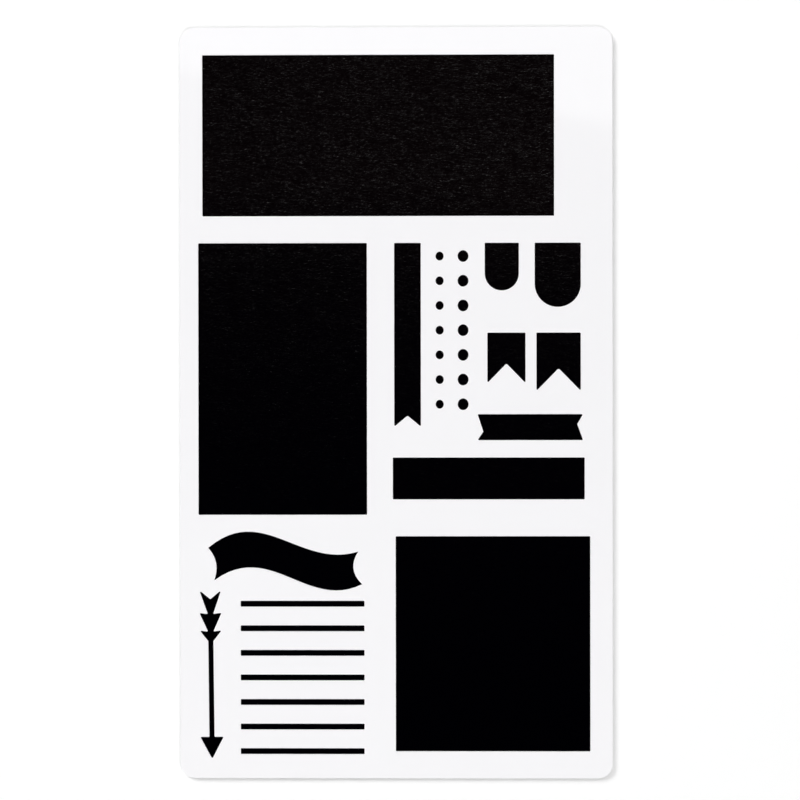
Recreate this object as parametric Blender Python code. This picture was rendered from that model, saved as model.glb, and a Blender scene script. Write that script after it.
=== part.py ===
"""Drawing stencil: a flat plastic sheet full of cut-outs, lying on a black backing card.

Lengths are in metres. The card lies on z = 0, the sheet lies on the card with its drawing face up,
and the origin is at the middle of the sheet's outline, with +Y towards the end with the wide window.
"""
import math

import bmesh
import bpy
from mathutils import Matrix, Vector
from mathutils.geometry import interpolate_bezier

# Sheet and card
SHEET_THICKNESS = 0.0004
SHEET_CORNER_RADIUS = 0.0036
CARD_THICKNESS = 0.0006
CARD_INSET = 0.0010
REST_GAP = 0.0003

# Roundings of the cut corners. One takes up no more than this share of the shorter side beside it
CUT_CORNER_RADIUS = 0.00018
NOTCH_RADIUS = 0.0004
LARGEST_TRIM = 0.4

# How far an arc may stray from its facets, in metres, and as a share of a very small arc's radius
CHORD_ERROR = 0.000012
LARGEST_SAGITTA = 0.3
FEWEST_FACETS = 2

# Margins of the sheet outside its cut-outs
LEFT_MARGIN = 0.0044
TOP_MARGIN = 0.0065
RIGHT_MARGIN = 0.0053
BOTTOM_MARGIN = 0.0064

# Wide window along the top, with its own margins to the left and the right
TOP_WINDOW_LEFT_MARGIN = 0.0054
TOP_WINDOW_RIGHT_MARGIN = 0.01375
TOP_WINDOW_HEIGHT = 0.03795
TOP_WINDOW_WEB = 0.00635

# Tall window on the left: it reaches down to the banner
TALL_WINDOW_WIDTH = 0.03975
COLUMN_WEB = 0.0061

# Wavy banner: its two long edges are S-curves, and its two ends are bowed inwards
BANNER_INSET = 0.00225
BANNER_WEB = 0.0078
BANNER_LENGTH = 0.0354
BANNER_DEPTH = 0.0077
BANNER_END_DROP = 0.0009
BANNER_LEFT_LEAN = 0.0014
BANNER_RIGHT_LEAN = 0.0009
BANNER_CREST_AT = 0.0128
BANNER_CREST_PULL = 0.01075
BANNER_TROUGH_AT = 0.0137
BANNER_TROUGH_PULL = 0.00505
BANNER_CREST_DEPTH = 0.00875
BANNER_TROUGH_DEPTH = 0.0099
BANNER_SHEAR = 0.0018
BANNER_LEFT_BOW = 0.0023
BANNER_RIGHT_BOW = 0.0017

# Arrow: three swept feathers, a head, and a thin shaft that fills the rest of its length. It leans
# a little off upright, and its point lies a drop below the foot of the near-square window
ARROW_INSET = 0.0001
ARROW_WEB = 0.00225
ARROW_DROP = 0.00185
ARROW_LEAN = math.radians(0.62)
ARROW_FEATHER_WIDTH = 0.0052
ARROW_FEATHER_LENGTHS = (0.0054, 0.00415, 0.0022)
ARROW_TAIL_NOTCH = 0.0022
ARROW_BARB = 0.0003
ARROW_SHAFT_WIDTH = 0.0012
ARROW_HEAD_WIDTH = 0.0055
ARROW_HEAD_LENGTH = 0.0052

# Writing lines: thin slots, the last of them a drop below the foot of the near-square window
LINE_COUNT = 7
LINE_LENGTH = 0.0292
LINE_WIDTH = 0.00138
LINE_PITCH = 0.0058
LINES_INSET = 0.0099
LINES_WEB = 0.0048
LINES_DROP = 0.0007

# Bookmark ribbon with a swallowtail foot
BOOKMARK_INSET = 0.00035
BOOKMARK_WIDTH = 0.00625
BOOKMARK_LENGTH = 0.04325
BOOKMARK_NOTCH = 0.0026

# Two columns of bullet dots, each a little taller than wide
DOT_ROWS = 7
DOT_PITCH = 0.005815
DOT_TOP_DROP = 0.0031
SMALL_DOT_WIDTH = 0.0019
SMALL_DOT_HEIGHT = 0.00207
LARGE_DOT_WIDTH = 0.00254
LARGE_DOT_HEIGHT = 0.00275
DOTS_WEB = 0.0035
DOT_COLUMN_WEB = 0.0033

# Two tabs with a square top and a round foot
TABS_WEB = 0.00385
TAB_SPACING = 0.00375
SMALL_TAB_WIDTH = 0.008
SMALL_TAB_HEIGHT = 0.0112
LARGE_TAB_WIDTH = 0.01082
LARGE_TAB_HEIGHT = 0.0151

# Two pennants with a swallowtail foot
PENNANT_WEB = 0.00605
PENNANT_INSET = 0.0006
PENNANT_SPACING = 0.0026
SMALL_PENNANT_WIDTH = 0.00895
SMALL_PENNANT_HEIGHT = 0.01185
SMALL_PENNANT_NOTCH = 0.0046
LARGE_PENNANT_WIDTH = 0.0104
LARGE_PENNANT_HEIGHT = 0.0137
LARGE_PENNANT_NOTCH = 0.0053

# Label ribbon with a notch in each end, low on the left and high on the right
LABEL_WEB = 0.0055
LABEL_OVERHANG = 0.00172
LABEL_WIDTH = 0.0248
LABEL_HEIGHT = 0.0061
LABEL_NOTCH = 0.00135
LABEL_LEFT_NOTCH_DROP = 0.0041
LABEL_RIGHT_NOTCH_DROP = 0.00235

# Title bar
BAR_WEB = 0.0041
BAR_WIDTH = 0.04515
BAR_HEIGHT = 0.00985

# Near-square window at the lower right
SQUARE_INSET = 0.00065
SQUARE_WEB = 0.0087
SQUARE_WIDTH = 0.0458
SQUARE_HEIGHT = 0.0507

# Cutters reach this far past both faces of the sheet
CUT_OVERRUN = 0.001

# Points along each long edge of the banner, and along each bowed end
EDGE_POINTS = 25
BOW_POINTS = 9


def clear_scene():
    for old in list(bpy.data.objects):
        bpy.data.objects.remove(old, do_unlink=True)


def make_material(name, colour, roughness):
    material = bpy.data.materials.new(name)
    material.use_nodes = True
    shader = material.node_tree.nodes["Principled BSDF"]
    shader.inputs["Base Color"].default_value = (*colour, 1.0)
    shader.inputs["Roughness"].default_value = roughness
    shader.inputs["Metallic"].default_value = 0.0
    return material


def white_plastic():
    return make_material("white_plastic", (0.92, 0.92, 0.93), 0.38)


def black_card():
    return make_material("black_card", (0.004, 0.0035, 0.004), 0.9)


# Outlines. Each is a list of (x, y), anticlockwise, in the layout's frame: its origin is the top left
# corner of the sheet, +X runs to the right and +Y runs up, so all of the sheet lies at negative y.


def facet_count(radius, turn):
    """How many straight pieces keep an arc of this radius within CHORD_ERROR."""
    sagitta = min(CHORD_ERROR / radius, LARGEST_SAGITTA)
    step = 2 * math.acos(1 - sagitta)
    return max(FEWEST_FACETS, math.ceil(turn / step))


def arc(centre, half_width, half_height, start, end):
    """Points along part of an ellipse, both ends included."""
    pieces = facet_count(max(half_width, half_height), end - start)
    angles = [start + (end - start) * i / pieces for i in range(pieces + 1)]
    return [(centre[0] + half_width * math.cos(a), centre[1] + half_height * math.sin(a)) for a in angles]


def rounded_corner(before, corner, after, radius):
    """Points of the arc that rounds one corner, on the way from before to after."""
    corner = Vector(corner)
    towards_before = Vector(before) - corner
    towards_after = Vector(after) - corner
    half_opening = towards_before.angle(towards_after) / 2
    shorter_side = min(towards_before.length, towards_after.length)
    trim = min(radius / math.tan(half_opening), shorter_side * LARGEST_TRIM)
    fitted_radius = trim * math.tan(half_opening)
    inward = (towards_before.normalized() + towards_after.normalized()).normalized()
    centre = corner + inward * (trim / math.cos(half_opening))
    start = corner + towards_before.normalized() * trim - centre
    end = corner + towards_after.normalized() * trim - centre
    turn = end.angle_signed(start)
    pieces = facet_count(fitted_radius, abs(turn))
    spokes = [Matrix.Rotation(turn * i / pieces, 2) @ start for i in range(pieces + 1)]
    return [tuple(centre + spoke) for spoke in spokes]


def rounded_outline(corners):
    """The outline through corners, given as (x, y, radius). Notches are rounded in the same way."""
    points = []
    for i, (x, y, radius) in enumerate(corners):
        before = corners[i - 1][:2]
        after = corners[(i + 1) % len(corners)][:2]
        points += rounded_corner(before, (x, y), after, radius)
    return points


def rectangle(left, top, width, height, radius=CUT_CORNER_RADIUS):
    right = left + width
    bottom = top - height
    corners = [(left, top), (left, bottom), (right, bottom), (right, top)]
    return rounded_outline([(x, y, radius) for x, y in corners])


def oval(centre_x, centre_y, width, height):
    return arc((centre_x, centre_y), width / 2, height / 2, 0, 2 * math.pi)[:-1]


def round_foot_tab(left, top, width, height):
    """A square top, straight sides and a half round foot."""
    right = left + width
    radius = width / 2
    foot_centre = (left + radius, top - height + radius)
    foot = arc(foot_centre, radius, radius, math.pi, 2 * math.pi)
    top_right = rounded_corner(foot[-1], (right, top), (left, top), CUT_CORNER_RADIUS)
    top_left = rounded_corner((right, top), (left, top), foot[0], CUT_CORNER_RADIUS)
    return foot + top_right + top_left


def swallowtail(left, top, width, height, notch):
    """A strip that hangs down to two points, with a notch of this depth between them."""
    right = left + width
    bottom = top - height
    return rounded_outline(
        [
            (left, top, CUT_CORNER_RADIUS),
            (left, bottom, CUT_CORNER_RADIUS),
            (left + width / 2, bottom + notch, NOTCH_RADIUS),
            (right, bottom, CUT_CORNER_RADIUS),
            (right, top, CUT_CORNER_RADIUS),
        ]
    )


def notched_label(left, top, width, height):
    right = left + width
    bottom = top - height
    return rounded_outline(
        [
            (left, top, CUT_CORNER_RADIUS),
            (left + LABEL_NOTCH, top - LABEL_LEFT_NOTCH_DROP, CUT_CORNER_RADIUS),
            (left, bottom, CUT_CORNER_RADIUS),
            (right, bottom, CUT_CORNER_RADIUS),
            (right - LABEL_NOTCH, top - LABEL_RIGHT_NOTCH_DROP, CUT_CORNER_RADIUS),
            (right, top, CUT_CORNER_RADIUS),
        ]
    )


def bezier(start, start_handle, end_handle, end, count):
    """Points along one curve, without its last point, which the next curve starts with."""
    knots = [Vector((*point, 0.0)) for point in (start, start_handle, end_handle, end)]
    return [(p.x, p.y) for p in interpolate_bezier(*knots, count)[:-1]]


def wavy_banner(left, top):
    """Two long edges that rise to a crest and fall to a trough, joined by two inward bows.

    left and top are the place of the upper left tip.
    """
    right = left + BANNER_LENGTH
    right_top = top - BANNER_END_DROP
    upper_left = (left, top)
    upper_right = (right, right_top)
    lower_left = (left + BANNER_LEFT_LEAN, top - BANNER_DEPTH)
    lower_right = (right + BANNER_RIGHT_LEAN, right_top - BANNER_DEPTH)

    crest = (left + BANNER_CREST_AT, top + BANNER_CREST_PULL)
    trough = (right - BANNER_TROUGH_AT, top - BANNER_TROUGH_PULL)
    lower_crest = (crest[0] + BANNER_SHEAR, crest[1] - BANNER_CREST_DEPTH)
    lower_trough = (trough[0] + BANNER_SHEAR, trough[1] - BANNER_TROUGH_DEPTH)

    third = BANNER_DEPTH / 3
    left_bow = (left + BANNER_LEFT_BOW, top - third), (left + BANNER_LEFT_BOW, top - 2 * third)
    right_bow_x = right - BANNER_RIGHT_BOW
    right_bow = (right_bow_x, right_top - 2 * third), (right_bow_x, right_top - third)
    return (
        bezier(upper_left, *left_bow, lower_left, BOW_POINTS)
        + bezier(lower_left, lower_crest, lower_trough, lower_right, EDGE_POINTS)
        + bezier(lower_right, *right_bow, upper_right, BOW_POINTS)
        + bezier(upper_right, trough, crest, upper_left, EDGE_POINTS)
    )


def feathered_arrow(tail_x, tail_y, length):
    """One half of the arrow is laid out as (half width, distance from the tail), and mirrored."""
    half_feather = ARROW_FEATHER_WIDTH / 2
    half_shaft = ARROW_SHAFT_WIDTH / 2
    half = []
    feather_start = 0.0
    for feather_length in ARROW_FEATHER_LENGTHS:
        half.append((half_feather, feather_start))
        feather_start += feather_length
        half.append((half_shaft, feather_start + ARROW_BARB))
    head_start = length - ARROW_HEAD_LENGTH
    half.append((half_shaft, head_start))
    half.append((ARROW_HEAD_WIDTH / 2, head_start))

    tail = (0.0, ARROW_TAIL_NOTCH)
    point = (0.0, length)
    left_side = [(-across, along) for across, along in half]
    right_side = half[::-1]
    loop = [tail, *left_side, point, *right_side]

    lean = Matrix.Rotation(ARROW_LEAN, 2)
    turned = [lean @ Vector((across, -along)) for across, along in loop]
    return rounded_outline([(tail_x + p.x, tail_y + p.y, CUT_CORNER_RADIUS) for p in turned])


def lay_out():
    """Every cut-out's outline by name, and the sheet's width and length around them all."""
    cuts = {}
    row_top = -TOP_MARGIN - TOP_WINDOW_HEIGHT - TOP_WINDOW_WEB

    # The left column reaches as far right as its widest cut-out
    banner_left = LEFT_MARGIN + BANNER_INSET
    banner_right = banner_left + BANNER_LENGTH + BANNER_RIGHT_LEAN
    lines_left = LEFT_MARGIN + LINES_INSET
    left_column_right = max(LEFT_MARGIN + TALL_WINDOW_WIDTH, lines_left + LINE_LENGTH, banner_right)

    # Right column, first row: bookmark, dots and tabs hang from the same line as the tall window
    column_left = left_column_right + COLUMN_WEB
    bookmark_left = column_left + BOOKMARK_INSET
    bookmark_right = bookmark_left + BOOKMARK_WIDTH
    bookmark_bottom = row_top - BOOKMARK_LENGTH
    cuts["bookmark"] = swallowtail(
        bookmark_left, row_top, BOOKMARK_WIDTH, BOOKMARK_LENGTH, BOOKMARK_NOTCH
    )

    small_dot_x = bookmark_right + DOTS_WEB + SMALL_DOT_WIDTH / 2
    large_dot_x = small_dot_x + SMALL_DOT_WIDTH / 2 + DOT_COLUMN_WEB + LARGE_DOT_WIDTH / 2
    for row in range(DOT_ROWS):
        y = row_top - DOT_TOP_DROP - row * DOT_PITCH
        cuts[f"small_dot_{row + 1}"] = oval(small_dot_x, y, SMALL_DOT_WIDTH, SMALL_DOT_HEIGHT)
        cuts[f"large_dot_{row + 1}"] = oval(large_dot_x, y, LARGE_DOT_WIDTH, LARGE_DOT_HEIGHT)
    dots_bottom = row_top - DOT_TOP_DROP - (DOT_ROWS - 1) * DOT_PITCH - LARGE_DOT_HEIGHT / 2

    small_tab_left = large_dot_x + LARGE_DOT_WIDTH / 2 + TABS_WEB
    large_tab_left = small_tab_left + SMALL_TAB_WIDTH + TAB_SPACING
    large_tab_right = large_tab_left + LARGE_TAB_WIDTH
    cuts["small_tab"] = round_foot_tab(small_tab_left, row_top, SMALL_TAB_WIDTH, SMALL_TAB_HEIGHT)
    cuts["large_tab"] = round_foot_tab(large_tab_left, row_top, LARGE_TAB_WIDTH, LARGE_TAB_HEIGHT)

    # Right column, below the tabs: two pennants, then the label
    pennant_top = row_top - max(SMALL_TAB_HEIGHT, LARGE_TAB_HEIGHT) - PENNANT_WEB
    small_pennant_left = small_tab_left + PENNANT_INSET
    large_pennant_left = small_pennant_left + SMALL_PENNANT_WIDTH + PENNANT_SPACING
    large_pennant_right = large_pennant_left + LARGE_PENNANT_WIDTH
    cuts["small_pennant"] = swallowtail(
        small_pennant_left, pennant_top, SMALL_PENNANT_WIDTH, SMALL_PENNANT_HEIGHT, SMALL_PENNANT_NOTCH
    )
    cuts["large_pennant"] = swallowtail(
        large_pennant_left, pennant_top, LARGE_PENNANT_WIDTH, LARGE_PENNANT_HEIGHT, LARGE_PENNANT_NOTCH
    )

    label_left = small_tab_left - LABEL_OVERHANG
    label_top = pennant_top - max(SMALL_PENNANT_HEIGHT, LARGE_PENNANT_HEIGHT) - LABEL_WEB
    label_bottom = label_top - LABEL_HEIGHT
    cuts["label"] = notched_label(label_left, label_top, LABEL_WIDTH, LABEL_HEIGHT)

    # Right column, across its whole width: the title bar and the near-square window
    bar_top = min(bookmark_bottom, dots_bottom, label_bottom) - BAR_WEB
    square_left = column_left + SQUARE_INSET
    square_top = bar_top - BAR_HEIGHT - SQUARE_WEB
    square_bottom = square_top - SQUARE_HEIGHT
    cuts["title_bar"] = rectangle(column_left, bar_top, BAR_WIDTH, BAR_HEIGHT)
    cuts["square_window"] = rectangle(square_left, square_top, SQUARE_WIDTH, SQUARE_HEIGHT)

    # Left column, from the foot up: writing lines, banner, and the tall window over them
    lines_bottom = square_bottom - LINES_DROP
    first_line_top = lines_bottom + LINE_WIDTH + (LINE_COUNT - 1) * LINE_PITCH
    for row in range(LINE_COUNT):
        line_top = first_line_top - row * LINE_PITCH
        cuts[f"writing_line_{row + 1}"] = rectangle(lines_left, line_top, LINE_LENGTH, LINE_WIDTH)

    banner_bottom = first_line_top + LINES_WEB
    banner_top = banner_bottom + BANNER_DEPTH
    cuts["wavy_banner"] = wavy_banner(banner_left, banner_top)

    tall_window_height = row_top - banner_top - BANNER_WEB
    cuts["tall_window"] = rectangle(LEFT_MARGIN, row_top, TALL_WINDOW_WIDTH, tall_window_height)

    arrow_x = LEFT_MARGIN + ARROW_INSET + ARROW_FEATHER_WIDTH / 2
    arrow_top = banner_bottom - ARROW_WEB
    arrow_point = square_bottom - ARROW_DROP
    cuts["arrow"] = feathered_arrow(arrow_x, arrow_top, arrow_top - arrow_point)

    # The sheet ends one margin past the near-square window's foot, and past what reaches furthest right
    furthest_right = max(
        column_left + BAR_WIDTH,
        square_left + SQUARE_WIDTH,
        large_tab_right,
        large_pennant_right,
        label_left + LABEL_WIDTH,
    )
    width = furthest_right + RIGHT_MARGIN
    length = BOTTOM_MARGIN - square_bottom

    top_window_width = width - TOP_WINDOW_LEFT_MARGIN - TOP_WINDOW_RIGHT_MARGIN
    cuts["top_window"] = rectangle(
        TOP_WINDOW_LEFT_MARGIN, -TOP_MARGIN, top_window_width, TOP_WINDOW_HEIGHT
    )
    return cuts, width, length


def prism(name, outline, bottom, top):
    """An object whose mesh is the outline, drawn out from one height to another."""
    shape = bmesh.new()
    face = shape.faces.new([shape.verts.new((x, y, bottom)) for x, y in outline])
    drawn = bmesh.ops.extrude_face_region(shape, geom=[face])
    upper = [item for item in drawn["geom"] if isinstance(item, bmesh.types.BMVert)]
    bmesh.ops.translate(shape, verts=upper, vec=(0.0, 0.0, top - bottom))
    bmesh.ops.recalc_face_normals(shape, faces=shape.faces)
    mesh = bpy.data.meshes.new(name)
    shape.to_mesh(mesh)
    shape.free()
    return bpy.data.objects.new(name, mesh)


def backing_card(width, length):
    left = CARD_INSET - width / 2
    top = length / 2 - CARD_INSET
    radius = SHEET_CORNER_RADIUS - CARD_INSET
    outline = rectangle(left, top, width - 2 * CARD_INSET, length - 2 * CARD_INSET, radius)
    card = prism("backing_card", outline, 0.0, CARD_THICKNESS)
    card.data.materials.append(black_card())
    bpy.context.scene.collection.objects.link(card)
    return card


def cut_through(sheet, cuts, width, length):
    """Cutters for all cut-outs, in a collection of their own that the sheet's Boolean takes away."""
    cutters = bpy.data.collections.new("cut_outs")
    bpy.context.scene.collection.children.link(cutters)
    for name, outline in cuts.items():
        placed = [(x - width / 2, y + length / 2) for x, y in outline]
        cutter = prism(f"cut_{name}", placed, -CUT_OVERRUN, SHEET_THICKNESS + CUT_OVERRUN)
        cutter.parent = sheet
        cutter.hide_render = True
        cutter.display_type = "WIRE"
        cutters.objects.link(cutter)
    boolean = sheet.modifiers.new("cut_outs", "BOOLEAN")
    boolean.operation = "DIFFERENCE"
    boolean.solver = "EXACT"
    boolean.operand_type = "COLLECTION"
    boolean.collection = cutters


def stencil_sheet(cuts, width, length):
    outline = rectangle(-width / 2, length / 2, width, length, SHEET_CORNER_RADIUS)
    sheet = prism("stencil_sheet", outline, 0.0, SHEET_THICKNESS)
    sheet.location.z = CARD_THICKNESS + REST_GAP
    sheet.data.materials.append(white_plastic())
    bpy.context.scene.collection.objects.link(sheet)
    cut_through(sheet, cuts, width, length)
    return sheet


clear_scene()
cut_outlines, sheet_width, sheet_length = lay_out()
backing_card(sheet_width, sheet_length)
stencil_sheet(cut_outlines, sheet_width, sheet_length)
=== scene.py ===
"""Looks for the drawing stencil: a glossy white plastic sheet on a black fibrous card.

It is seen from above. Lengths are in metres, and turns in degrees.
"""

import math

import bmesh
import bpy
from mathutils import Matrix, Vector


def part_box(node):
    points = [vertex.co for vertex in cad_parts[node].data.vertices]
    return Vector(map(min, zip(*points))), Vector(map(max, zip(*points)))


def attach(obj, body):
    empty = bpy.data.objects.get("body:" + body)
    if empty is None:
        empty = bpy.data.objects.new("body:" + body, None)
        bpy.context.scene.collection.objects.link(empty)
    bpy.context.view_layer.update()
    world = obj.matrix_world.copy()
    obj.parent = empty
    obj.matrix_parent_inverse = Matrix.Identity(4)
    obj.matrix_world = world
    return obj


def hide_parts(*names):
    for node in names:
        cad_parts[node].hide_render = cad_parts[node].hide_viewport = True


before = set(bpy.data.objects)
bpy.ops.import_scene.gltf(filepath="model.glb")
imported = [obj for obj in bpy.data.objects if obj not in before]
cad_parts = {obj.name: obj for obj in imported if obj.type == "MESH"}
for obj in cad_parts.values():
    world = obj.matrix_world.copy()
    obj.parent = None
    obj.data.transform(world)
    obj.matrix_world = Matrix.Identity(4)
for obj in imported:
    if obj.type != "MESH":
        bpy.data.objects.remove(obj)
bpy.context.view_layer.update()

MM = 0.001

# Rounding of the long edges, top and bottom
SHEET_RIM = 0.07 * MM
CARD_RIM = 0.10 * MM
RIM_STEPS = 4

# Corners nearer than this are one corner
WELD_DISTANCE = 0.0005 * MM

# The rise of a face is the upright part of its normal: 1 on a level face, 0 on an upright wall
TOP_RISE = 0.9
LEVEL_RISE = 0.75
WALL_RISE = 0.35

# In both materials a SIZE is how long a pattern's features are, a HEIGHT how far they stand,
# and LEVELS the part of the pattern's 0 to 1 that is used
MIDDLE_LEVEL = 0.5

# White plastic
PLASTIC_FACES = ((0.943, 0.937, 0.953, 1), (0.948, 0.942, 0.959, 1))
PLASTIC_WALLS = (0.90, 0.89, 0.91, 1)
PLASTIC_WALL_ROUGHNESS = 0.42
PLASTIC_IOR = 1.49
MOTTLE_SIZE = 14 * MM
MOTTLE_LEVELS = (0.35, 0.65)
HAZE_SIZE = 6 * MM
HAZE_LEVELS = (0.3, 0.7)
HAZE_ROUGHNESS = (0.03, 0.06)
HAIRLINE_TURN = 37
HAIRLINE_SIZES = (9 * MM, 0.12 * MM, 1 * MM)
HAIRLINE_LEVELS = (0.68, 0.8)
HAIRLINE_ROUGHNESS = (0.0, 0.12)
WAVE_TURN = 12
WAVE_SIZES = (34 * MM, 22 * MM, 30 * MM)
WAVE_HEIGHT = 0.060 * MM
SKIN_SIZE = 0.55 * MM
SKIN_HEIGHT = 0.0010 * MM
CUT_MARK_SIZES = (0.05 * MM, 0.05 * MM, 0.6 * MM)
CUT_MARK_HEIGHT = 0.006 * MM

# Black card. Each layer of fibres or hairs has its own turn, length and width, and a POWER is
# what a pattern adds to the power that the fibres' colour grows by
FIBRE_LAYERS = ((0, 0.45 * MM, 0.095 * MM), (6, 1.8 * MM, 0.11 * MM), (-8, 0.8 * MM, 0.10 * MM))
FIBRE_POWER = 20.0
FIBRE_COLOUR = 0.00092
FIBRE_HEIGHT = 0.05 * MM
FLECK_LEVELS = (0.63, 0.74)
FLECK_COLOUR = 0.030
FLECK_ROUGHNESS = (0.42, 0.30)
HAIR_LAYERS = ((3, 2.6 * MM, 0.46 * MM), (-12, 2.0 * MM, 0.54 * MM))
HAIR_REACH = 0.038
HAIR_POWER = (-0.40, 1.35)
BAND_SIZES = (3.0 * MM, 0.7 * MM, 1.0 * MM)
BAND_LEVELS = (0.25, 0.75)
BAND_POWER = (-0.35, 0.35)
CLUMP_SIZE = 3 * MM
CLUMP_LEVELS = (0.25, 0.75)
CLUMP_POWER = (-0.4, 0.4)
CLUMP_ROUGH_LEVELS = (0.3, 0.7)
CLUMP_ROUGHNESS = (-0.02, 0.02)
# Ground colours of the card, brownish at the head and bluish at the foot. The head's is lighter,
# as painted sheen
GROUND_AT_FOOT = (0.00003, 0.00001, 0.00050, 1)
GROUND_AT_HEAD = (0.00105, 0.00005, 0.00035, 1)
PLY_SIZES = (2.5 * MM, 2.5 * MM, 0.07 * MM)
PLY_LEVELS = (0.35, 0.7)
PLY_COLOURS = ((0.006, 0.006, 0.007, 1), (0.030, 0.028, 0.028, 1))
PLY_HEIGHT = 0.03 * MM
CARD_WALL_ROUGHNESS = 0.8
CARD_SPECULAR = 0.003

# Painted sheen: the fibres and the card's ground are painted brighter in full from FADE_FROM up
# the card, and this fades below it by e over each FADE_LENGTH. It gains a little from the card's
# left to its right
FADE_FROM = 52 * MM
FADE_LENGTH = 26 * MM
GAIN_PLACES = (-45 * MM, 35 * MM)
GAIN = (0.87, 1.13)

# Camera over the sheet, at the photo's framing
CAMERA_LENS = 100.0
CAMERA_PLACE = (7.98 * MM, 3.64 * MM, 524.72 * MM)
CAMERA_TURN = (-0.320, 0.770, -0.066)

# Floor. It takes the shadow up to FLOOR_NEAR from the middle, and is plain white past FLOOR_FAR.
# Where it is looked at, it glows by FLOOR_LIFT
FLOOR_HALF = 2.5
FLOOR_DROP = 0.02 * MM
FLOOR_COLOUR = (0.96, 0.96, 0.96, 1)
FLOOR_LIFT = 0.05
FLOOR_NEAR = 0.12
FLOOR_FAR = 0.30

# Surroundings: a soft fill on the object, and what reflections show. By the upward part of the
# direction that is white below the first height and the ceiling above the second. By its part
# along the sheet the ceiling pales from the first slope to the second, towards the foot
SOFT_FILL = 0.10
CEILING_HEIGHTS = (0.25, 0.75)
CEILING_SLOPES = (0.02, -0.18)
CEILING_LIGHT = (0.03, 0.60)

# Lamps hang level, this high, and shine straight down
LAMP_HEIGHT = 1.8


# Meshes


def welded(node):
    """The node's mesh with its split corners joined."""
    shape = bmesh.new()
    shape.from_mesh(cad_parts[node].data)
    bmesh.ops.remove_doubles(shape, verts=shape.verts, dist=WELD_DISTANCE)
    bmesh.ops.recalc_face_normals(shape, faces=shape.faces)
    return shape


def top_outlines(node):
    """The loops around a flat node's upper face, as (x, y) with the material on the left."""
    shape = welded(node)
    # A dict and not a set, to keep the faces in order and so give the same mesh on each run
    upper = dict.fromkeys(face for face in shape.faces if face.normal.z > TOP_RISE)
    following = {}
    for face in upper:
        for corner in face.loops:
            if any(other not in upper for other in corner.edge.link_faces):
                following[corner.vert.index] = corner.link_loop_next.vert.index
    places = {vert.index: (vert.co.x, vert.co.y) for vert in shape.verts}
    shape.free()
    loops = []
    while following:
        start, after = following.popitem()
        loop = [start]
        while after != start:
            loop.append(after)
            after = following.pop(after)
        loops.append([places[i] for i in loop])
    return sorted(loops, key=lambda loop: min(loop))


def inward_directions(loop):
    """Two directions for each point: the one into the material that keeps the walls on both
    sides even, and the wall's normal."""
    found = []
    for i, here in enumerate(loop):
        before = Vector(here) - Vector(loop[i - 1])
        after = Vector(loop[(i + 1) % len(loop)]) - Vector(here)
        left_before = Vector((-before.y, before.x)).normalized()
        left_after = Vector((-after.y, after.x)).normalized()
        mitre = (left_before + left_after) / (1 + left_before.dot(left_after))
        wall = left_before * before.length + left_after * after.length
        found.append((mitre, -wall.normalized()))
    return found


def rim_profile(bottom, top, rim):
    """The rounded edge from the underside's rim to the upper one's.

    Each point has an inset, a height, and the outward and upward shares of its normal.
    """
    profile = []
    for level, side, start in ((bottom, 1, -math.pi / 2), (top, -1, 0.0)):
        for step in range(RIM_STEPS + 1):
            turn = start + math.pi / 2 * step / RIM_STEPS
            outward, upward = math.cos(turn), math.sin(turn)
            height = level + rim * (side + upward)
            profile.append((rim * (1 - outward), height, outward, upward))
    return profile


def close_face(shape, rings, upward):
    """Fills the flat face between the rings, facing up where upward is 1 and down where -1."""
    edges = [
        shape.edges.get((ring[i - 1], ring[i])) for ring in rings for i in range(len(ring))
    ]
    filled = bmesh.ops.triangle_fill(shape, use_beauty=True, use_dissolve=False, edges=edges)
    for face in filled["geom"]:
        if isinstance(face, bmesh.types.BMFace) and face.normal.z * upward < 0:
            face.normal_flip()


def rounded_slab(name, node, rim):
    """The flat node again, with its long edges rounded and smooth normals round every cut-out."""
    low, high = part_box(node)
    profile = rim_profile(low.z, high.z, rim)
    shape = bmesh.new()
    normals = []
    first_rings, last_rings = [], []
    for loop in top_outlines(node):
        directions = inward_directions(loop)
        rings = []
        for inset, height, outward, upward in profile:
            ring = []
            for (x, y), (mitre, wall) in zip(loop, directions):
                ring.append(shape.verts.new((x + mitre.x * inset, y + mitre.y * inset, height)))
                normals.append((wall.x * outward, wall.y * outward, upward))
            rings.append(ring)
        for lower, upper in zip(rings, rings[1:]):
            for i in range(len(loop)):
                shape.faces.new((lower[i - 1], lower[i], upper[i], upper[i - 1]))
        first_rings.append(rings[0])
        last_rings.append(rings[-1])
    shape.verts.index_update()
    close_face(shape, first_rings, -1)
    close_face(shape, last_rings, 1)
    for face in shape.faces:
        face.smooth = True
    mesh = bpy.data.meshes.new(name)
    shape.to_mesh(mesh)
    shape.free()
    mesh.normals_split_custom_set_from_vertices(normals)
    piece = bpy.data.objects.new(name, mesh)
    bpy.context.scene.collection.objects.link(piece)
    return piece


# Material nodes


def add(tree, kind, values=None, **settings):
    """A node with its settings. A value that is a socket is linked, and any other is set."""
    made = tree.nodes.new(kind)
    for key, value in settings.items():
        setattr(made, key, value)
    for key, value in (values or {}).items():
        if isinstance(value, bpy.types.NodeSocket):
            tree.links.new(value, made.inputs[key])
        else:
            made.inputs[key].default_value = value
    return made


def math_node(tree, operation, *values):
    return add(tree, "ShaderNodeMath", dict(enumerate(values)), operation=operation).outputs[0]


def noise(tree, where, scale=1.0, detail=2.0, roughness=0.5, distortion=0.0):
    values = {
        "Vector": where,
        "Scale": scale,
        "Detail": detail,
        "Roughness": roughness,
        "Distortion": distortion,
    }
    return add(tree, "ShaderNodeTexNoise", values, noise_dimensions="3D").outputs["Fac"]


def spread(tree, value, low, high, to_low=0.0, to_high=1.0):
    """The value's range from low to high, laid over another range and clamped."""
    values = {
        "Value": value,
        "From Min": low,
        "From Max": high,
        "To Min": to_low,
        "To Max": to_high,
    }
    return add(tree, "ShaderNodeMapRange", values, clamp=True).outputs["Result"]


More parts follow.
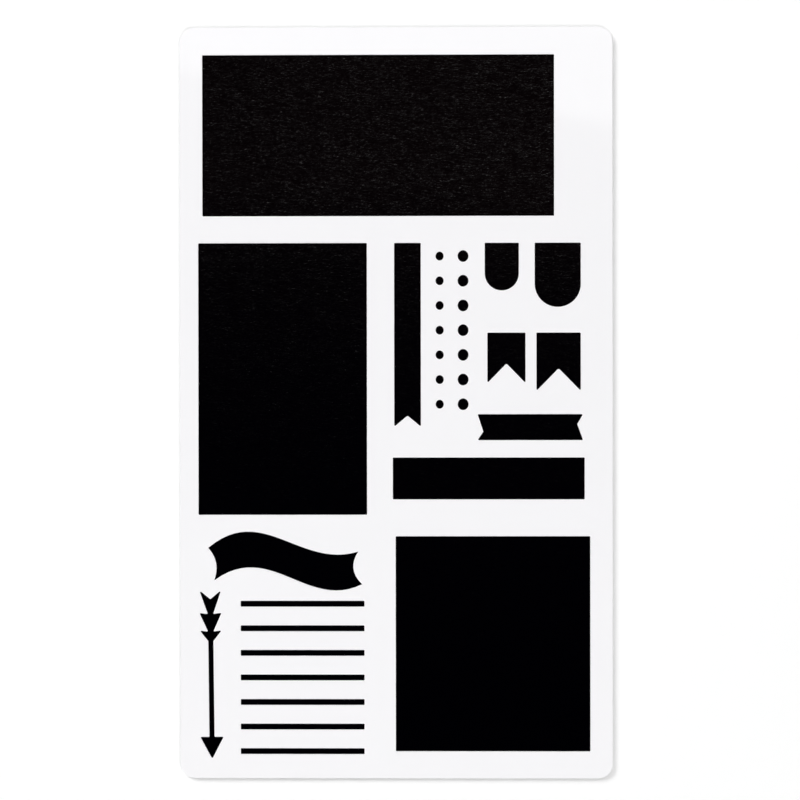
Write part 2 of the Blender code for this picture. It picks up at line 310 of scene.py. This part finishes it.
def blend_colours(tree, share, first, second):
    """A mix of two colours. The node has sockets of the same name, so they go by number."""
    node = add(tree, "ShaderNodeMix", {0: share, 6: first, 7: second}, data_type="RGBA")
    return node.outputs[2]


def stretched(tree, where, turn, sizes):
    """Coordinates in which a grain of these sizes is one unit long each way."""
    scale = tuple(1 / size for size in sizes)
    rotation = (0, 0, math.radians(turn))
    turned = add(tree, "ShaderNodeMapping", {"Vector": where, "Rotation": rotation}).outputs[0]
    return add(tree, "ShaderNodeMapping", {"Vector": turned, "Scale": scale}).outputs[0]


def bump(tree, pattern, height, under=None):
    """A normal that the pattern tilts, on top of another normal if there is one."""
    values = {"Height": pattern, "Distance": height}
    if under is not None:
        values["Normal"] = under
    return add(tree, "ShaderNodeBump", values).outputs["Normal"]


def new_material(name):
    """A material, its node tree and shader, and the coordinates on the object."""
    material = bpy.data.materials.new(name)
    material.use_nodes = True
    tree = material.node_tree
    shader = tree.nodes["Principled BSDF"]
    where = add(tree, "ShaderNodeTexCoord").outputs["Object"]
    return material, tree, shader, where


def wall_share(tree):
    """1 on the upright walls, 0 on the flat faces."""
    normal = add(tree, "ShaderNodeNewGeometry").outputs["Normal"]
    upward = add(tree, "ShaderNodeSeparateXYZ", {"Vector": normal}).outputs["Z"]
    return spread(tree, math_node(tree, "ABSOLUTE", upward), LEVEL_RISE, WALL_RISE)


# Materials


def white_plastic():
    """Smooth plastic sheet: glossy faces that aren't quite flat, and duller cut walls."""
    material, tree, shader, where = new_material("white_plastic_sheet")
    walls = wall_share(tree)

    mottle = noise(tree, where, 1 / MOTTLE_SIZE, detail=3.0)
    face_colour = blend_colours(tree, spread(tree, mottle, *MOTTLE_LEVELS), *PLASTIC_FACES)
    colour = blend_colours(tree, walls, face_colour, PLASTIC_WALLS)
    tree.links.new(colour, shader.inputs["Base Color"])

    haze = noise(tree, where, 1 / HAZE_SIZE, detail=5.0, roughness=0.6)
    hairlines = noise(tree, stretched(tree, where, HAIRLINE_TURN, HAIRLINE_SIZES))
    rough_faces = math_node(
        tree,
        "ADD",
        spread(tree, haze, *HAZE_LEVELS, *HAZE_ROUGHNESS),
        spread(tree, hairlines, *HAIRLINE_LEVELS, *HAIRLINE_ROUGHNESS),
    )
    rough_walls = math_node(tree, "MULTIPLY", walls, PLASTIC_WALL_ROUGHNESS)
    rough = math_node(tree, "MAXIMUM", rough_faces, rough_walls)
    tree.links.new(rough, shader.inputs["Roughness"])

    waves = noise(tree, stretched(tree, where, WAVE_TURN, WAVE_SIZES), detail=1.0)
    skin = noise(tree, where, 1 / SKIN_SIZE)
    cut_marks = noise(tree, stretched(tree, where, 0, CUT_MARK_SIZES))
    marks_on_walls = math_node(tree, "MULTIPLY", cut_marks, walls)
    normal = bump(tree, waves, WAVE_HEIGHT)
    normal = bump(tree, skin, SKIN_HEIGHT, under=normal)
    normal = bump(tree, marks_on_walls, CUT_MARK_HEIGHT, under=normal)
    tree.links.new(normal, shader.inputs["Normal"])
    shader.inputs["IOR"].default_value = PLASTIC_IOR
    return material


def card_fibres(tree, where):
    """Thin short fibres: the mean of the layers."""
    fibres = 0.0
    for turn, length, width in FIBRE_LAYERS:
        grain = stretched(tree, where, turn, (length, width, width))
        layer = noise(tree, grain, detail=1.0, distortion=0.3)
        part = math_node(tree, "DIVIDE", layer, len(FIBRE_LAYERS))
        fibres = math_node(tree, "ADD", part, fibres)
    return fibres


def card_hairs(tree, where):
    """Longer curved hairs: thin lines along the middle level of each layer's pattern."""
    hairs = 0.0
    for turn, length, width in HAIR_LAYERS:
        grain = stretched(tree, where, turn, (length, width, width))
        pattern = noise(tree, grain, distortion=0.8)
        off_middle = math_node(tree, "SUBTRACT", pattern, MIDDLE_LEVEL)
        off_middle = math_node(tree, "ABSOLUTE", off_middle)
        line = spread(tree, off_middle, 0.0, HAIR_REACH, 1.0, 0.0)
        hairs = math_node(tree, "MAXIMUM", line, hairs)
    return hairs


def painted_sheen_fade(tree, where):
    """Painted sheen: how much brighter the fibres and ground are painted, from about 1 at the
    upper end to almost 0 at the foot.
    """
    place = add(tree, "ShaderNodeSeparateXYZ", {"Vector": where}).outputs
    above = math_node(tree, "SUBTRACT", place["Y"], FADE_FROM)
    fall = math_node(tree, "POWER", math.e, math_node(tree, "DIVIDE", above, FADE_LENGTH))
    across = spread(tree, place["X"], *GAIN_PLACES, *GAIN)
    return math_node(tree, "MULTIPLY", math_node(tree, "MINIMUM", fall, 1.0), across)


def black_card():
    """Dead black card with a fine fibre grain across it, painted brighter at the upper end as
    sheen.
    """
    material, tree, shader, where = new_material("black_fibre_card")
    walls = wall_share(tree)
    fibres = card_fibres(tree, where)
    hairs = card_hairs(tree, where)
    flecks = spread(tree, fibres, *FLECK_LEVELS)
    clumps = noise(tree, where, 1 / CLUMP_SIZE)
    bands = noise(tree, stretched(tree, where, 0, BAND_SIZES))

    # The fibres' colour grows by this power, so most of them are dark and a few are pale
    off_middle = math_node(tree, "SUBTRACT", fibres, MIDDLE_LEVEL)
    power = math_node(tree, "MULTIPLY", off_middle, FIBRE_POWER)
    power = math_node(tree, "ADD", power, spread(tree, bands, *BAND_LEVELS, *BAND_POWER))
    power = math_node(tree, "ADD", power, spread(tree, hairs, 0.0, 1.0, *HAIR_POWER))
    power = math_node(tree, "ADD", power, spread(tree, clumps, *CLUMP_LEVELS, *CLUMP_POWER))
    grain = math_node(tree, "MULTIPLY", math_node(tree, "POWER", math.e, power), FIBRE_COLOUR)
    grain = math_node(tree, "ADD", math_node(tree, "MULTIPLY", flecks, FLECK_COLOUR), grain)

    # Neutral fibres over a ground that is brownish at the upper end and bluish at the foot. The
    # painted sheen makes both brighter towards the upper end
    sheen_share = painted_sheen_fade(tree, where)
    grain_with_painted_sheen = math_node(tree, "MULTIPLY", grain, sheen_share)
    ground = blend_colours(tree, sheen_share, GROUND_AT_FOOT, GROUND_AT_HEAD)
    face_colour = add(tree, "ShaderNodeVectorMath", {0: ground, 1: grain_with_painted_sheen}, operation="ADD")

    # Plies in the cut edge
    plies = noise(tree, stretched(tree, where, 0, PLY_SIZES), detail=3.0)
    edge_colour = blend_colours(tree, spread(tree, plies, *PLY_LEVELS), *PLY_COLOURS)
    colour = blend_colours(tree, walls, face_colour.outputs["Vector"], edge_colour)
    tree.links.new(colour, shader.inputs["Base Color"])

    rough_faces = math_node(
        tree,
        "ADD",
        spread(tree, flecks, 0.0, 1.0, *FLECK_ROUGHNESS),
        spread(tree, clumps, *CLUMP_ROUGH_LEVELS, *CLUMP_ROUGHNESS),
    )
    rough_walls = math_node(tree, "MULTIPLY", walls, CARD_WALL_ROUGHNESS)
    rough = math_node(tree, "MAXIMUM", rough_faces, rough_walls)
    tree.links.new(rough, shader.inputs["Roughness"])

    plies_on_walls = math_node(tree, "MULTIPLY", plies, walls)
    normal = bump(tree, fibres, FIBRE_HEIGHT)
    normal = bump(tree, plies_on_walls, PLY_HEIGHT, under=normal)
    tree.links.new(normal, shader.inputs["Normal"])
    shader.inputs["Specular IOR Level"].default_value = CARD_SPECULAR
    return material


# Studio


def ray_kinds(tree):
    """1 for rays from the camera, and 1 for rays that gloss or glass sent on, as two values."""
    path = add(tree, "ShaderNodeLightPath").outputs
    mirrored = math_node(tree, "MAXIMUM", path["Is Glossy Ray"], path["Is Transmission Ray"])
    return path["Is Camera Ray"], mirrored


def floor_paper():
    """Pale paper that takes the shadow near the object and runs out into plain white."""
    material = bpy.data.materials.new("floor_white")
    material.use_nodes = True
    tree = material.node_tree
    tree.nodes.clear()
    camera_ray, mirrored = ray_kinds(tree)
    seen = math_node(tree, "MAXIMUM", camera_ray, mirrored)
    where = add(tree, "ShaderNodeTexCoord").outputs["Object"]
    away = add(tree, "ShaderNodeVectorMath", {0: where}, operation="LENGTH").outputs["Value"]
    far = spread(tree, away, FLOOR_NEAR, FLOOR_FAR)
    paper = add(tree, "ShaderNodeBsdfDiffuse", {"Color": FLOOR_COLOUR}).outputs[0]
    glow = math_node(tree, "MULTIPLY", seen, FLOOR_LIFT)
    lift = add(tree, "ShaderNodeEmission", {"Strength": glow}).outputs[0]
    near_paper = add(tree, "ShaderNodeAddShader", {0: paper, 1: lift}).outputs[0]
    white = add(tree, "ShaderNodeEmission", {"Strength": seen}).outputs[0]
    mixed = add(tree, "ShaderNodeMixShader", {0: far, 1: near_paper, 2: white}).outputs[0]
    add(tree, "ShaderNodeOutputMaterial", {"Surface": mixed})
    return material


def floor():
    mesh = bpy.data.meshes.new("floor")
    sides = ((-1, -1), (1, -1), (1, 1), (-1, 1))
    corners = [(x * FLOOR_HALF, y * FLOOR_HALF, -FLOOR_DROP) for x, y in sides]
    mesh.from_pydata(corners, [], [(0, 1, 2, 3)])
    mesh.materials.append(floor_paper())
    plane = bpy.data.objects.new("floor", mesh)
    bpy.context.scene.collection.objects.link(plane)


def surroundings():
    """White all round for the camera, a white horizon and dim ceiling for reflections, and a
    soft fill on the object."""
    world = bpy.data.worlds.new("studio")
    world.use_nodes = True
    tree = world.node_tree
    background = tree.nodes["Background"]
    camera_ray, mirrored = ray_kinds(tree)
    direction = add(tree, "ShaderNodeTexCoord").outputs["Generated"]
    parts = add(tree, "ShaderNodeSeparateXYZ", {"Vector": direction}).outputs
    ceiling = spread(tree, parts["Y"], *CEILING_SLOPES, *CEILING_LIGHT)
    horizon = spread(tree, parts["Z"], *CEILING_HEIGHTS, 1.0, 0.0)
    reflected = math_node(tree, "MULTIPLY", mirrored, math_node(tree, "MAXIMUM", ceiling, horizon))
    grain_with_painted_sheen = math_node(tree, "MAXIMUM", camera_ray, reflected)
    unseen = math_node(tree, "SUBTRACT", 1.0, math_node(tree, "MAXIMUM", camera_ray, mirrored))
    strength = math_node(tree, "ADD", grain_with_painted_sheen, math_node(tree, "MULTIPLY", unseen, SOFT_FILL))
    tree.links.new(strength, background.inputs["Strength"])
    background.inputs["Color"].default_value = (1, 1, 1, 1)
    bpy.context.scene.world = world


def panel(name, centre, size, radiance, turn=0.0, in_gloss=True):
    """A level soft panel of this radiance that shines straight down."""
    lamp = bpy.data.lights.new(name, "AREA")
    lamp.shape = "RECTANGLE"
    lamp.size, lamp.size_y = size
    lamp.energy = radiance * math.pi * size[0] * size[1]
    hung = bpy.data.objects.new(name, lamp)
    hung.location = (*centre, LAMP_HEIGHT)
    hung.rotation_euler = (0, 0, math.radians(turn))
    hung.visible_glossy = in_gloss
    bpy.context.scene.collection.objects.link(hung)


def lamps():
    # The one that the sheet mirrors along its upper end
    panel("window_bank", centre=(0.066, 0.899), size=(2.20, 1.20), radiance=1.38, turn=-6.3)
    # Broad light from above
    panel("overhead", centre=(0.47, -0.87), size=(1.46, 1.48), radiance=2.58, in_gloss=False)
    # From the upper left, for the shadow
    panel("key", centre=(-1.76, 1.58), size=(1.70, 1.70), radiance=7.92, in_gloss=False)
    # Weak ones at the foot and to the right, so that no edge is quite without a shadow
    panel("fill_foot", centre=(-0.24, -1.33), size=(1.01, 1.01), radiance=2.08, in_gloss=False)
    panel("fill_right", centre=(0.71, -0.74), size=(0.60, 0.60), radiance=1.57, in_gloss=False)


def camera():
    data = bpy.data.cameras.new("camera")
    data.lens = CAMERA_LENS
    eye = bpy.data.objects.new("camera", data)
    eye.location = CAMERA_PLACE
    eye.rotation_euler = [math.radians(turn) for turn in CAMERA_TURN]
    bpy.context.scene.collection.objects.link(eye)
    bpy.context.scene.camera = eye


camera()
surroundings()
floor()
lamps()

sheet = rounded_slab("stencil_sheet_finished", "stencil_sheet", SHEET_RIM)
sheet.data.materials.append(white_plastic())
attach(sheet, "sheet")
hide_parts("stencil_sheet")

card = rounded_slab("backing_card_finished", "backing_card", CARD_RIM)
card.data.materials.append(black_card())
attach(card, "card")
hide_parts("backing_card")

bpy.context.scene.view_settings.view_transform = "Standard"
